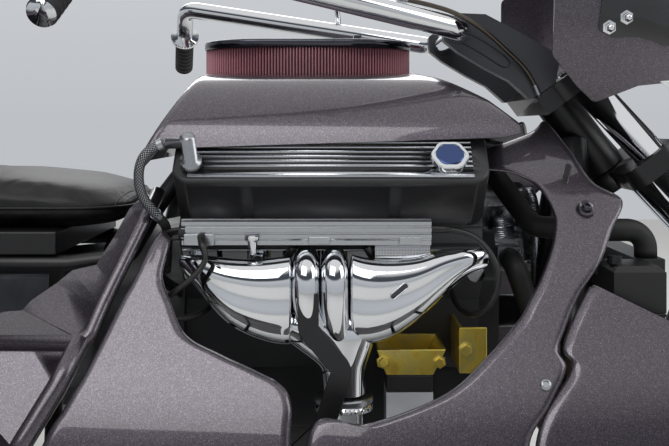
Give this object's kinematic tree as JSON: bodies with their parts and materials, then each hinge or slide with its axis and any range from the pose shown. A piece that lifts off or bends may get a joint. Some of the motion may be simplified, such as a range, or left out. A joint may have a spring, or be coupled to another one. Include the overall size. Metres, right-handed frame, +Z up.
{
  "type": "motorized trike",
  "caption": "Motorized trike with an open V8 engine between a raked front fork and a rear tub over two wide wheels.",
  "frame": {"origin": "on the floor, below the middle of the vehicle's length and width", "axes": "+X forward, +Y to the rider's left, +Z up"},
  "size_m": [3.0381, 1.63, 1.3],
  "materials": {
    "alternator_alloy": "cast",
    "axle_black": "satin black",
    "bar_chrome": "mirror",
    "blue_anodised": "anodised",
    "board_alloy": "brushed",
    "braid_steel": "braided over black rubber",
    "breather_grey": "grey paint and chrome elbow",
    "clamp_black": "satin black",
    "cover_black": "wrinkle black with polished fins",
    "engine_grey": "cast, dark grey paint",
    "exhaust_chrome": "mirror",
    "frame_black": "satin black paint",
    "gearbox_alloy": "cast",
    "head_alloy": "cast",
    "header_chrome": "mirror",
    "hose_rubber": "black",
    "intake_alloy": "cast and polished",
    "lamp_chrome": "mirror",
    "lamp_red": "clear red",
    "leg_chrome": "mirror",
    "lid_dark": "dark polished",
    "loom_alloy": "ribbed, brushed",
    "mirror_chrome": "mirror",
    "mount_rubber": "black",
    "pan_black": "satin black",
    "pedestal_grey": "light grey paint",
    "pleat_fabric": "pleated oiled gauze",
    "pulley_steel": "satin",
    "purple_paint": "purple grey metallic, clear coat",
    "radiator_black": "satin black",
    "rim_chrome": "polished",
    "riser_grey": "dark grey satin",
    "screen_dark": "dark tinted",
    "seat_leather": "black, stitched",
    "spring_steel": "black",
    "tank_plastic": "black",
    "tyre_rubber": "black",
    "wire_rubber": "black",
    "zinc_gold": "gold zinc plating"
  },
  "bodies": {
    "chassis": {"frame": "frame_black", "top_rails": "frame_black", "cross_tubes": "frame_black", "steering_head": "frame_black", "breather_hose": "braid_steel", "header_stay": "frame_black", "tub_sides": "purple_paint", "rear_fenders": "purple_paint", "engine_block": "engine_grey", "cylinder_heads": "head_alloy", "valve_covers": "cover_black", "oil_cap": "blue_anodised", "breather": "breather_grey", "intake_manifold": "intake_alloy", "air_filter_element": "pleat_fabric", "air_filter_lid": "lid_dark", "headers": "header_chrome", "exhaust_pipes": "exhaust_chrome", "wire_looms": "loom_alloy", "plug_wires": "wire_rubber", "engine_mounts": "zinc_gold", "mount_rubbers": "mount_rubber", "mount_pedestals": "pedestal_grey", "belt_drive": "pulley_steel", "alternator": "alternator_alloy", "radiator": "radiator_black", "coolant_tank": "tank_plastic", "coolant_hoses": "hose_rubber", "gearbox": "gearbox_alloy", "rear_axle": "axle_black", "rear_suspension": "spring_steel", "tank_shell": "purple_paint", "side_arms": "purple_paint", "side_panels": "purple_paint", "rear_tub": "purple_paint", "rider_seat": "seat_leather", "seat_pan": "pan_black", "passenger_seat": "seat_leather", "backrest": "seat_leather", "foot_boards": "board_alloy", "tail_lamps": "lamp_red"},
    "fork": {"triple_clamps": "clamp_black", "fork_legs": "leg_chrome", "risers": "riser_grey", "handlebar": "bar_chrome", "fairing": "purple_paint", "windscreen": "screen_dark", "headlamp": "lamp_chrome", "front_mudguard": "purple_paint", "mirrors": "mirror_chrome", "control_cable": "wire_rubber"},
    "front_wheel": {"front_tyre": "tyre_rubber", "front_rim": "rim_chrome"},
    "rear_wheel_right": {"rear_tyre_right": "tyre_rubber", "rear_rim_right": "rim_chrome"},
    "rear_wheel_left": {"rear_tyre_left": "tyre_rubber", "rear_rim_left": "rim_chrome"}
  },
  "joints": [
    {"name": "steering", "type": "hinge", "parent": "chassis", "child": "fork", "pos_m": [0.723, 0, 0.734], "axis": [-0.6018, 0, 0.7986], "range_deg": [-25, 25]},
    {"name": "front_wheel_spin", "type": "hinge", "parent": "fork", "child": "front_wheel", "pos_m": [1.17666, 0, 0.335], "axis": [0, 1, 0], "continuous": true},
    {"name": "rear_wheel_right_spin", "type": "hinge", "parent": "chassis", "child": "rear_wheel_right", "pos_m": [-1.047, -0.66, 0.35], "axis": [0, 1, 0], "continuous": true},
    {"name": "rear_wheel_left_spin", "type": "hinge", "parent": "chassis", "child": "rear_wheel_left", "pos_m": [-1.047, 0.66, 0.35], "axis": [0, 1, 0], "continuous": true}
  ]
}
